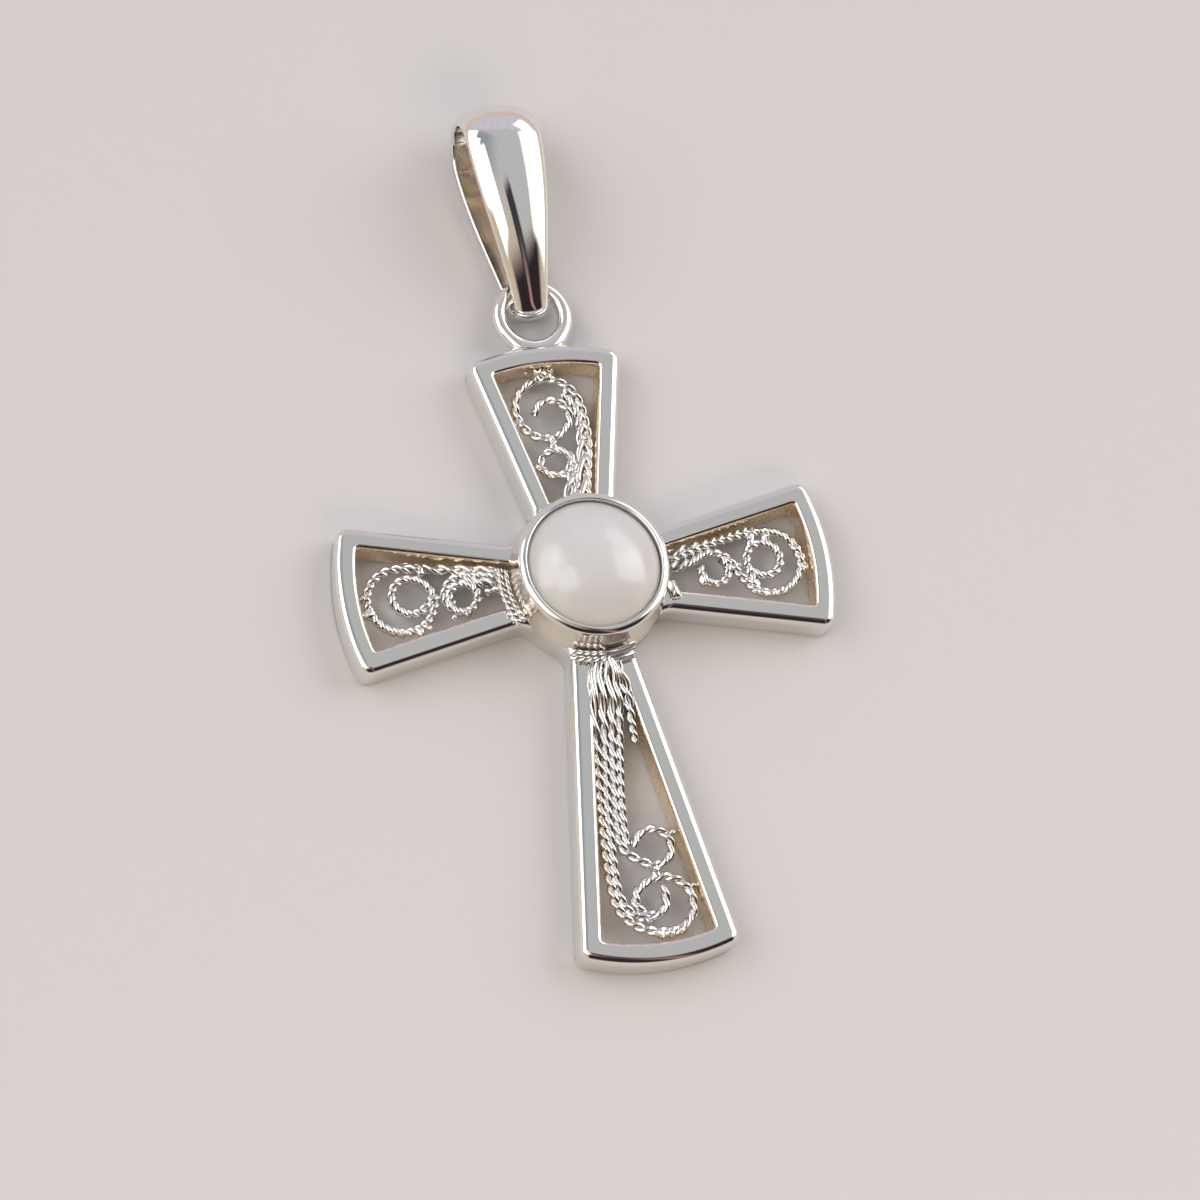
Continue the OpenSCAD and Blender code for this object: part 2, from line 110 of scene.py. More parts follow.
class Bench:
    """The modelling steps that every piece shares, each one an operator used as by hand."""

    @staticmethod
    def start(primitive: Callable, name: str, **settings: object) -> Body:
        """Adds a primitive with nothing else selected.

        Args:
            primitive: the operator that adds it.
            name: the new piece's name.
            **settings: the operator's own settings.

        Returns:
            The new object, active and selected alone.
        """
        if bpy.context.object and bpy.context.object.mode != "OBJECT":
            bpy.ops.object.mode_set(mode="OBJECT")
        bpy.ops.object.select_all(action="DESELECT")
        primitive(**settings)
        piece = bpy.context.active_object
        piece.name = piece.data.name = name
        return piece

    @staticmethod
    def pick(piece: Body) -> None:
        """Makes one object the only selected one and the active one."""
        bpy.ops.object.select_all(action="DESELECT")
        piece.select_set(True)
        bpy.context.view_layer.objects.active = piece

    @staticmethod
    @contextmanager
    def editing(piece: Body, kind: str = "EDGE") -> Iterator[bmesh.types.BMesh]:
        """Opens a piece in edit mode with nothing selected.

        Args:
            piece: the object to edit.
            kind: what is selected there, VERT, EDGE or FACE.

        Yields:
            The mesh being edited, to select in.
        """
        Bench.pick(piece)
        bpy.ops.object.mode_set(mode="EDIT")
        bpy.ops.mesh.select_mode(type=kind)
        bpy.ops.mesh.select_all(action="DESELECT")
        yield bmesh.from_edit_mesh(piece.data)
        bpy.ops.object.mode_set(mode="OBJECT")

    @staticmethod
    def modify(piece: Body, kind: str, **settings: object) -> None:
        """Adds a modifier to a piece and applies it.

        Args:
            piece: the object to finish.
            kind: the modifier's type.
            **settings: its settings.
        """
        Bench.pick(piece)
        modifier = piece.modifiers.new(kind.title(), kind)
        for key, value in settings.items():
            setattr(modifier, key, value)
        bpy.ops.object.modifier_apply(modifier=modifier.name)

    @staticmethod
    def place(piece: Body, points: Sequence[Sequence[float]]) -> None:
        """Moves a piece's vertices to points in millimetres, in their order."""
        for vertex, point in zip(piece.data.vertices, points, strict=True):
            vertex.co = Vector(point) * MM

    @staticmethod
    def mend(piece: Body) -> None:
        """Merges doubled vertices and turns every face outwards."""
        with Bench.editing(piece, "VERT"):
            bpy.ops.mesh.select_all(action="SELECT")
            bpy.ops.mesh.remove_doubles(threshold=WELD)
            bpy.ops.mesh.normals_make_consistent(inside=False)

    @staticmethod
    def plate(name: str, outline: Sequence[Vector], low: float, high: float) -> Body:
        """Makes a flat plate of any outline.

        Args:
            name: the piece's name.
            outline: its corners in order.
            low: height of its underside.
            high: height of its top.

        Returns:
            The plate, with its place in its mesh.
        """
        ring = {"vertices": len(outline), "radius": MM, "fill_type": "NGON"}
        piece = Bench.start(bpy.ops.mesh.primitive_circle_add, name, **ring)
        Bench.place(piece, [(p.x, p.y, low) for p in outline])
        with Bench.editing(piece, "FACE"):
            bpy.ops.mesh.select_all(action="SELECT")
            bpy.ops.mesh.extrude_region_move(TRANSFORM_OT_translate={"value": (0, 0, (high - low) * MM)})
        Bench.mend(piece)
        return piece

    @staticmethod
    def lathe(name: str, profile: Sequence[Sequence[float]], steps: int) -> Body:
        """Turns a profile about the Z axis.

        Args:
            name: the piece's name.
            profile: radius and height of each point, from the axis back to the axis.
            steps: the number of steps round the axis.

        Returns:
            The turned piece, closed at both poles.
        """
        piece = Bench.start(bpy.ops.mesh.primitive_circle_add, name, vertices=len(profile), radius=MM)
        Bench.place(piece, [(p[0], 0, p[1]) for p in profile])
        with Bench.editing(piece) as mesh:
            for edge in mesh.edges:
                edge.select_set({v.index for v in edge.verts} == {0, len(profile) - 1})
            bmesh.update_edit_mesh(piece.data)
            bpy.ops.mesh.delete(type="EDGE")
        Bench.modify(piece, "SCREW", angle=math.tau, steps=steps, render_steps=steps, use_smooth_shade=False)
        Bench.mend(piece)
        return piece

    @staticmethod
    def bevel(piece: Body, test: Callable, offset: float, steps: int, fullness: float = 0.5) -> None:
        """Rounds the edges that pass a test.

        Args:
            piece: the object to round.
            test: tells whether an edge is rounded.
            offset: how far the rounding reaches from the edge.
            steps: its number of faces.
            fullness: 0.5 for a round edge, more for a fuller one.
        """
        with Bench.editing(piece) as mesh:
            for edge in mesh.edges:
                edge.select_set(test(edge))
            bmesh.update_edit_mesh(piece.data)
            bpy.ops.mesh.bevel(offset=offset * MM, segments=steps, profile=fullness, clamp_overlap=False)

    @staticmethod
    def join(pieces: Sequence[Body], name: str) -> Body:
        """Joins pieces that are soldered to each other into one object of that name."""
        Bench.pick(pieces[0])
        for piece in pieces:
            piece.select_set(True)
        bpy.ops.object.join()
        joined = bpy.context.active_object
        joined.name = joined.data.name = name
        return joined

    @staticmethod
    def soften(piece: Body, angle: float, weighted: bool = False) -> None:
        """Shades a piece smoothly up to an edge angle.

        Args:
            piece: the object to shade.
            angle: edges sharper than this many degrees stay crisp.
            weighted: whether large flat faces keep their own normals.
        """
        Bench.pick(piece)
        bpy.ops.object.shade_smooth_by_angle(angle=math.radians(angle))
        if weighted:
            Bench.modify(piece, "WEIGHTED_NORMAL", keep_sharp=True, weight=80)

    @staticmethod
    def bead(name: str, start: Point, end: Point, radius: float, lumps: float = 0.0) -> Body:
        """Makes a stretched bead of solder between two places.

        Args:
            name: the bead's name.
            start: one end's centre.
            end: the other end's centre.
            radius: the bead's radius.
            lumps: how uneven its skin is, as a share of the radius.

        Returns:
            The bead.
        """
        piece = Bench.start(bpy.ops.mesh.primitive_ico_sphere_add, name, subdivisions=3, radius=1.0)
        a, b = Vector(start), Vector(end)
        along = (b - a).normalized() if (b - a).length else Vector((1, 0, 0))
        points = []
        for vertex in piece.data.vertices:
            n = vertex.co.normalized()
            side = smooth(0.5 + n.dot(along))
            swell = 1 + lumps * math.sin(5 * n.x + 31 * a.x) * math.cos(4 * n.y + 17 * a.y)
            points.append(a.lerp(b, side) + n * radius * swell)
        Bench.place(piece, points)
        return piece


@dataclass(frozen=True)
class Socket:
    """An output of a shader node that can be used in sums, as a number can."""

    tree: bpy.types.NodeTree
    out: bpy.types.NodeSocket

    def _sum(self, kind: str, first: object, second: object) -> "Socket":
        """Returns the outcome of one maths node."""
        node = self.tree.nodes.new("ShaderNodeMath")
        node.operation = kind
        for slot, value in zip(node.inputs, (first, second)):
            if isinstance(value, Socket):
                self.tree.links.new(value.out, slot)
            else:
                slot.default_value = float(value)
        return Socket(self.tree, node.outputs[0])

    def __add__(self, other: object) -> "Socket":
        """Returns self + other."""
        return self._sum("ADD", self, other)

    def __radd__(self, other: object) -> "Socket":
        """Returns other + self."""
        return self._sum("ADD", other, self)

    def __sub__(self, other: object) -> "Socket":
        """Returns self - other."""
        return self._sum("SUBTRACT", self, other)

    def __rsub__(self, other: object) -> "Socket":
        """Returns other - self."""
        return self._sum("SUBTRACT", other, self)

    def __mul__(self, other: object) -> "Socket":
        """Returns self * other."""
        return self._sum("MULTIPLY", self, other)

    def __rmul__(self, other: object) -> "Socket":
        """Returns other * self."""
        return self._sum("MULTIPLY", other, self)

    def __truediv__(self, other: object) -> "Socket":
        """Returns self / other."""
        return self._sum("DIVIDE", self, other)

    def __rtruediv__(self, other: object) -> "Socket":
        """Returns other / self."""
        return self._sum("DIVIDE", other, self)

    def __abs__(self) -> "Socket":
        """Returns the size of self without its sign."""
        return self._sum("ABSOLUTE", self, 0.0)

    def between(self, low: float, high: float) -> "Socket":
        """Returns a soft rise from 0 where self is low to 1 where self is high, which may be the smaller."""
        node = self.tree.nodes.new("ShaderNodeMapRange")
        node.interpolation_type = "SMOOTHSTEP"
        self.tree.links.new(self.out, node.inputs["Value"])
        falls = float(high < low)
        ends = {"From Min": min(low, high), "From Max": max(low, high), "To Min": falls, "To Max": 1 - falls}
        for name, value in ends.items():
            node.inputs[name].default_value = value
        return Socket(self.tree, node.outputs[0])


class Graph:
    """A node tree with one method that adds any node and wires it."""

    def __init__(self, tree: bpy.types.NodeTree) -> None:
        """Empties the tree and keeps it."""
        self.tree = tree
        tree.nodes.clear()

    def add(self, kind: str, out: Union[int, str] = 0, inputs: dict | None = None, **settings: object) -> Socket:
        """Adds a node.

        Args:
            kind: the node's type.
            out: which of its outputs is returned.
            inputs: values or sockets for its inputs, by name or number.
            **settings: the node's own settings.

        Returns:
            The chosen output.
        """
        node = self.tree.nodes.new(kind)
        for key, value in settings.items():
            setattr(node, key, value)
        for key, value in (inputs or {}).items():
            if isinstance(value, Socket):
                self.tree.links.new(value.out, node.inputs[key])
            else:
                node.inputs[key].default_value = value
        return Socket(self.tree, node.outputs[out]) if len(node.outputs) else Socket(self.tree, None)

    def blend(self, share: Socket, low: Union[Colour, Socket], high: Colour) -> Socket:
        """Returns a colour that goes from low to high as share goes from 0 to 1."""
        first = low if isinstance(low, Socket) else (*low, 1.0)
        return self.add("ShaderNodeMix", 2, {0: share, 6: first, 7: (*high, 1.0)}, data_type="RGBA")

    def place(self) -> Socket:
        """Returns object coordinates, in metres."""
        return self.add("ShaderNodeTexCoord", "Object")

    def clouds(self, size: float, detail: float, **settings: float) -> Socket:
        """Returns an uneven pattern with patches that are that many millimetres wide."""
        inputs = {"Vector": self.place(), "Scale": 1 / (size * MM), "Detail": detail, **settings}
        return self.add("ShaderNodeTexNoise", 0, inputs)

    def relief(self, height: Socket) -> Socket:
        """Returns the normals of a skin that stands out by that height, in metres."""
        return self.add("ShaderNodeBump", 0, {"Height": height, "Distance": 1.0, "Strength": 1.0})


def new_material(name: str, draw: Callable[[Graph], dict[str, object]]) -> bpy.types.Material:
    """Makes a material of one shader.

    Args:
        name: the material's name.
        draw: draws its pattern and gives the shader's inputs by name.

    Returns:
        The material.
    """
    material = bpy.data.materials.new(name)
    material.use_nodes = True
    g = Graph(material.node_tree)
    g.add("ShaderNodeOutputMaterial", 0, {"Surface": g.add("ShaderNodeBsdfPrincipled", 0, draw(g))})
    return material


@dataclass(frozen=True)
class Silver:
    """Polished silver, with the fine waves and hairlines that a polishing wheel leaves."""

    name: str
    slot: str = "polished_silver"
    colour: Colour = (0.93, 0.925, 0.91)
    shade: Colour = (0.86, 0.85, 0.83)
    roughness: Pair = (0.045, 0.1)
    wave: float = 6.0
    wave_size: float = 1.6
    hairline: float = 0.25
    hairline_size: float = 0.12

    def draw(self, g: Graph) -> dict[str, object]:
        """Draws the waves and the hairlines.

        Args:
            g: the material's nodes.

        Returns:
            The shader's inputs by name.
        """
        cloud, fine = g.clouds(self.wave_size, 3.0), g.clouds(self.hairline_size, 4.0)
        dull, duller = self.roughness
        return {
            "Base Color": g.blend(fine.between(0.3, 0.75), self.colour, self.shade),
            "Metallic": 1.0,
            "Roughness": cloud.between(0.35, 0.7) * (duller - dull) + dull,
            "Normal": g.relief(cloud * (self.wave * MICRON) + fine * (self.hairline * MICRON)),
        }


BRUSHED = Silver(
    "brushed_silver",
    colour=(0.96, 0.88, 0.78),
    shade=(0.88, 0.79, 0.68),
    roughness=(0.14, 0.24),
    wave=5.0,
    wave_size=0.7,
)


@dataclass(frozen=True)
class Wire:
    """Bright drawn wire, with painted shade in the grooves between the strands."""

    name: str = "twisted_wire"
    slot: str = "twisted_wire"
    colour: Colour = (0.94, 0.93, 0.91)
    # Painted shade: dark brown laid where the strands meet, standing in for the shadow in the grooves
    groove_shade: Colour = (0.12, 0.085, 0.06)
    roughness: float = 0.13
    groove_roughness: float = 0.25
    uneven: float = 0.06

    def draw(self, g: Graph) -> dict[str, object]:
        """Paints shade onto the wire by how deep between the strands each place lies.

        Args:
            g: the material's nodes.

        Returns:
            The shader's inputs by name.
        """
        shade_mask = g.add("ShaderNodeAttribute", "Fac", attribute_name="groove_shade")
        grain = g.clouds(0.25, 3.0)
        return {
            # Painted shade: the grooves between the strands are darkened by the mask
            "Base Color": g.blend(shade_mask, self.colour, self.groove_shade),
            "Metallic": 1.0,
            "Roughness": shade_mask * self.groove_roughness + grain * self.uneven + self.roughness,
            "Normal": g.relief(grain * (4 * MICRON)),
        }


@dataclass(frozen=True)
class MilkStone:
    """A milky white stone with a creamy edge, clouded inside and glossy outside; the edge is its own tone, made
    lighter as painted light on the low part of the dome.
    """

    name: str = "milky_cabochon"
    slot: str = "cabochon"
    heart: Colour = (0.59, 0.59, 0.6)
    cloud: Colour = (0.6, 0.599, 0.606)
    # Creamy tone of the stone's edge, made lighter than its own tone as painted light on the low part of the dome
    edge: Colour = (0.74, 0.7, 0.63)
    top: float = 4.7
    edge_from: float = 0.86
    edge_full: float = 0.68
    edge_share: float = 0.7
    patch: float = 2.2
    roughness: float = 0.28
    uneven: float = 0.04

    def draw(self, g: Graph) -> dict[str, object]:
        """Clouds the stone and turns it creamy and lighter towards its edge, partly as painted light.

        Args:
            g: the material's nodes.

        Returns:
            The shader's inputs by name.
        """
        height = g.add("ShaderNodeSeparateXYZ", "Z", {0: g.place()})
        cloud = g.clouds(self.patch, 5.0, Roughness=0.6)
        body = g.blend(cloud.between(0.35, 0.65), self.heart, self.cloud)
        # Lighter, creamier band towards the girdle: partly the stone's edge tone, partly painted light
        rim = height.between(self.top * MM * self.edge_from, self.top * MM * self.edge_full)
        return {
            "Base Color": g.blend(rim * self.edge_share, body, self.edge),
            "Roughness": cloud.between(0.2, 0.8) * self.uneven + self.roughness,
            "Normal": g.relief(cloud * MICRON),
            "IOR": 1.52,
            "Subsurface Weight": 0.85,
            "Subsurface Radius": (1.0, 1.0, 0.8),
            "Subsurface Scale": 2.4 * MM,
            "Coat Weight": 0.8,
            "Coat Roughness": 0.05,
        }


Finish = Union[Silver, Wire, MilkStone]


def dress(piece: Body, *finishes: Finish) -> None:
    """Gives a piece its finishes, each with a material that is made once.

    Args:
        piece: the object to dress.
        *finishes: what it is made of; the first one covers the whole piece.
    """
    piece.data.materials.clear()
    for finish in finishes:
        piece.data.materials.append(bpy.data.materials.get(finish.name) or new_material(finish.name, finish.draw))


@dataclass
class Piece:
    """A finished piece, with the solid that it stands for and the finish slot that it takes."""

    body: Body
    node: str
    slot: str

    def hand_over(self) -> None:
        """Gives the piece its place in the frame."""
        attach(self.body, "root")
        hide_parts(self.node)
        log.info("%s: %d faces for %s", self.body.name, len(self.body.data.polygons), self.node)


@dataclass
class Arm:
    """One flared open arm: its window and the rim round it."""

    way: Window
    end_radius: float
    end_angle: float
    end_centre: float
    flare: float
    rim: float = 1.05
    corner: float = 0.6
    nook: float = 0.12
    nook_turn: float = 0.8

    def _side(self) -> tuple[Vector, Vector, float]:
        """Returns the window side's direction, its outward normal and its distance from the stone's axis."""
        corner = Vector((self.end_centre, 0)) + turned(self.end_radius, self.end_angle)
        along, out = turned(1, self.flare), turned(1, 90 + self.flare)
        return along, out, corner.dot(out)

    def _whole(self, half: Sequence[Vector]) -> list[Vector]:
        """Returns a half outline with its mirror half before it, turned to the arm's place."""
        mirrored = [Vector((p.x, -p.y)) for p in half]
        turn = math.radians(self.way.value)
        c, s = math.cos(turn), math.sin(turn)
        loop = mirrored + list(reversed(half))
        kept = [p for i, p in enumerate(loop) if (p - loop[i - 1]).length > 1e-5]
        return [Vector((c * p.x - s * p.y, s * p.x + c * p.y)) for p in kept]

    def outer(self, hub: float, fillet: float) -> list[Vector]:
        """Lays out the arm's outer edge, with the hollow corners where it leaves the hub.

        Args:
            hub: the hub's radius.
            fillet: the radius of the hollow corners.

        Returns:
            The points, counter-clockwise.
        """
        along, out, offset = self._side()
        away = offset + self.rim + fillet
        centre = out * away + along * math.sqrt((hub + fillet) ** 2 - away**2)
        first = math.degrees(math.atan2(-centre.y, -centre.x))
        last = math.degrees(math.atan2(-out.y, -out.x))
        half = arc(tuple(centre), fillet, first, last, 10)
        bow, far = Vector((self.end_centre, 0)), self.end_radius + self.rim - self.corner
        aside = offset + self.rim - self.corner - bow.dot(out)
        corner = bow + out * aside + along * math.sqrt(far**2 - aside**2)
        end = math.degrees(math.atan2(corner.y, corner.x - bow.x))
        half += arc(tuple(corner), self.corner, 90 + self.flare, end, 18)
        half += arc(tuple(bow), self.end_radius + self.rim, end, 0, 20)[1:]
        return self._whole(half)

    def window(self, near: float, apex: float | None = None) -> list[Vector]:
        """Lays out the arm's window.

        Args:
            near: distance of the window's near end, where it is square.
            apex: distance of the centre of its near end, where that is round.

        Returns:
            The points, counter-clockwise.
        """
        along, out, offset = self._side()
        half: list[Vector] = []
        if apex is None:
            half.append(out * offset + along * ((near - out.x * offset) / along.x))
        else:
            radius = offset - apex * out.x
            half += arc((apex, 0), radius, 180, 90 + self.flare, 14)
        corner = Vector((self.end_centre, 0)) + turned(self.end_radius, self.end_angle)
        bend = corner - out * self.nook - turned(self.nook, self.end_angle)
        half += arc(tuple(bend), self.nook, 90 + self.flare, self.end_angle, 4)
        half += arc((self.end_centre, 0), self.end_radius, self.end_angle - self.nook_turn, 0, 16)
        return self._whole(half)


@dataclass
class CrossBody:
    """The soldered silver body: pierced arms, hub, bezel and hanging ring."""

    arms: dict[Window, Arm] = field(
        default_factory=lambda: {
            **{w: Arm(w, 11.35, 13.66, 0.0, 12.6) for w in (Window.TOP, Window.LEFT, Window.RIGHT)},
            Window.FOOT: Arm(Window.FOOT, 10.0, 16.25, 18.35 - 10.0 * math.cos(math.radians(16.25)), 8.8),
        }
    )
    thick: float = 1.7
    hub: float = 3.95
    fillet: float = 0.9
    front_round: float = 0.48
    front_fullness: float = 0.56
    back_round: float = 0.15
    inner_edge: float = 0.22
    window_start: float = 3.7
    apex: float = 5.85
    seat: float = 0.6
    rim_height: float = 3.4
    rim_outer: float = 3.73
    rim_inner: float = 3.3
    rim_fullness: float = 0.8
    rim_slant: float = 0.42
    rim_depth: float = 0.3
    wall_root: float = 0.3
    wall_bow: float = 0.9
    stone_wall: Pair = (3.42, 2.6)
    lip: float = 0.06
    ring_place: float = 14.25
    ring_radius: float = 1.66
    ring_wire: float = 0.38
    ring_flow: Pair = (1.15, 0.8)
    ring_swell: Point = (0.1, -0.08, 0.12)
    solder_ends: tuple[Pair, Pair] = ((0.35, 12.42), (1.22, 12.3))
    solder_radius: float = 0.37
    lumps: Sequence[tuple[Point, Point, float]] = (
        ((4.0, -0.95, 1.7), (4.12, -1.42, 1.72), 0.3),
        ((-3.9, -1.45, 1.72), (-3.72, -1.8, 1.72), 0.24),
    )
    lump_skin: float = 0.15
    finish: Silver = Silver("polished_silver")
    # Silver tinted warm as a painted reflection of warm surroundings, which also bounces warm light into the windows
    warm_painted_walls: Silver = Silver(
        "window_wall_painted_warmth",
        colour=(0.98, 0.82, 0.62),
        shade=(0.92, 0.75, 0.54),
        roughness=(0.2, 0.32),
        wave=8.0,
        wave_size=0.5,
    )

    def _plate(self) -> Body:
        """Cuts the pierced plate and rounds its edges.

        Returns:
            The plate of all four arms.
        """
        order = (Window.RIGHT, Window.TOP, Window.LEFT, Window.FOOT)
        runs = [self.arms[way].outer(self.hub, self.fillet) for way in order]
        loop: list[Vector] = []
        for run, after in zip(runs, runs[1:] + runs[:1]):
            a, b = (math.degrees(math.atan2(p.y, p.x)) for p in (run[-1], after[0]))
            loop += run + arc((0, 0), self.hub, a, a + (b - a) % 360, 8)[1:-1]
        plate = Bench.plate("arms", loop, 0, self.thick)

        def level(height: float) -> Callable[[bmesh.types.BMEdge], bool]:
            """Returns a test for edges that lie at that height."""
            return lambda edge: all(abs(v.co.z - height * MM) < WELD for v in edge.verts)

        def brink(edge: bmesh.types.BMEdge) -> bool:
            """Tells whether an edge lies between a flat face and an upright wall."""
            flat = any(abs(f.normal.z) > 0.999 for f in edge.link_faces)
            return flat and any(abs(f.normal.z) < 0.01 for f in edge.link_faces)

        Bench.bevel(plate, level(self.thick), self.front_round, 9, self.front_fullness)
        Bench.bevel(plate, level(0.0), self.back_round, 3)
        dress(plate, self.finish)
        for way, arm in self.arms.items():
            hole = arm.window(self.window_start, self.apex if way is Window.FOOT else None)
            cutter = Bench.plate("cutter", hole, -1, self.thick + 1)
            dress(cutter, self.warm_painted_walls)
            cut = {"operation": "DIFFERENCE", "solver": "EXACT", "material_mode": "TRANSFER", "object": cutter}
            Bench.modify(plate, "BOOLEAN", **cut)
            bpy.data.objects.remove(cutter)
        Bench.bevel(plate, brink, self.inner_edge, 4)
        return plate

    def _setting(self) -> Body:
        """Turns the closed cup, its leaning wall and its rolled rim.

        Returns:
            The cup.
        """
        r = (self.rim_outer - self.rim_inner) / 2
        top, slant = self.rim_height - r, self.rim_slant
        corner = (self.hub - self.back_round, self.back_round)
        profile = [(0.0, 0.0)] + [tuple(p) for p in arc(corner, self.back_round, -90, 0, 4)]
        for i in range(9):
            share = i / 8
            reach = mix(self.hub, self.rim_outer, smooth(share) ** self.wall_bow)
            profile.append((reach, mix(self.thick - self.wall_root, top - slant * r, share)))
        for p in arc((0, 0), 1, 0, 180, 18)[1:]:
            x, z = (math.copysign(abs(v) ** self.rim_fullness, v) for v in p)
            profile.append((self.rim_inner + r + r * x, top + r * (z - slant * x)))
        inside, high = self.stone_wall
        profile += [(self.rim_inner + self.lip, top - self.rim_depth), (inside, high)]
        profile += [(inside, self.seat), (0.0, self.seat)]
        return Bench.lathe("setting", profile, 144)

    def _ring(self) -> Body:
        """Bends the hanging ring and flows its solder onto the arm's end.

        Returns:
            The ring with its two solder fillets.
        """
        ring = Bench.start(
            bpy.ops.mesh.primitive_torus_add,
            "ring",
            major_segments=96,
            minor_segments=24,
            major_radius=self.ring_radius * MM,
            minor_radius=self.ring_wire * MM,
        )
        points = []
        start, run = self.ring_flow
        wider, lower, thicker = self.ring_swell
        for vertex in ring.data.vertices:
            x, y, z = vertex.co / MM
            low = smooth((-y - start) / run)
            x, z = x * (1 + wider * low), z * (1 + thicker * low)
            points.append((x, y + lower * low + self.ring_place, z + self.thick / 2))
        Bench.place(ring, points)
        (u, v), (x, y) = self.solder_ends
        z = self.thick / 2
        feet = [Bench.bead("foot", (side * u, v, z), (side * x, y, z), self.solder_radius) for side in (-1, 1)]
        return Bench.join([ring, *feet], "ring")

    def build(self) -> Piece:
        """Builds the body and shades it.

        Returns:
            The finished piece.
        """
        plate, setting, ring = self._plate(), self._setting(), self._ring()
        dress(setting, self.finish, BRUSHED)
        for face in setting.data.polygons:
            away, z = (face.center / MM).to_2d().length, face.center.z / MM
            outside = away > self.rim_outer - 0.03
            face.material_index = int(outside and self.thick < z < self.rim_height - self.rim_depth)
        dress(ring, self.finish)
        Bench.soften(plate, 35, weighted=True)
        Bench.soften(setting, 40)
        Bench.soften(ring, 60)
        lumps = [Bench.bead("lump", *ends, self.lump_skin) for ends in self.lumps]
        for lump in lumps:
            dress(lump, self.finish)
            Bench.soften(lump, 70)
        body = Bench.join([plate, setting, ring, *lumps], "cross_body")
        return Piece(body, "cross_frame", self.finish.slot)


@dataclass
class Cabochon:
    """The round domed stone."""

    radius: float = 3.38
    bottom: float = 0.64
    chamfer: float = 0.05
    girdle: float = 2.6
    crown_height: float = 3.2
    crown_radius: float = 3.25
    top: float = 4.7
    finish: MilkStone = MilkStone()

    def build(self) -> Piece:
        """Grinds the dome.

        Returns:
            The finished piece.
        """
        rise = self.top - self.crown_height
        dome = (self.crown_radius**2 + rise**2) / (2 * rise)
        spread = math.degrees(math.asin(self.crown_radius / dome))
        profile = [(0.0, self.bottom), (self.radius - self.chamfer, self.bottom)]
        profile += [(self.radius, self.bottom + self.chamfer), (self.radius, self.girdle)]
        profile += [(mix(self.radius, self.crown_radius, 0.5), mix(self.girdle, self.crown_height, 0.6))]
        profile += [tuple(p) for p in arc((0, self.top - dome), dome, 90 - spread, 90, 28)[:-1]]
        profile += [(0.0, self.top)]
        stone = Bench.lathe("cabochon", profile, 128)
        Bench.soften(stone, 50)
        dress(stone, self.finish)
        return Piece(stone, "stone", self.finish.slot)


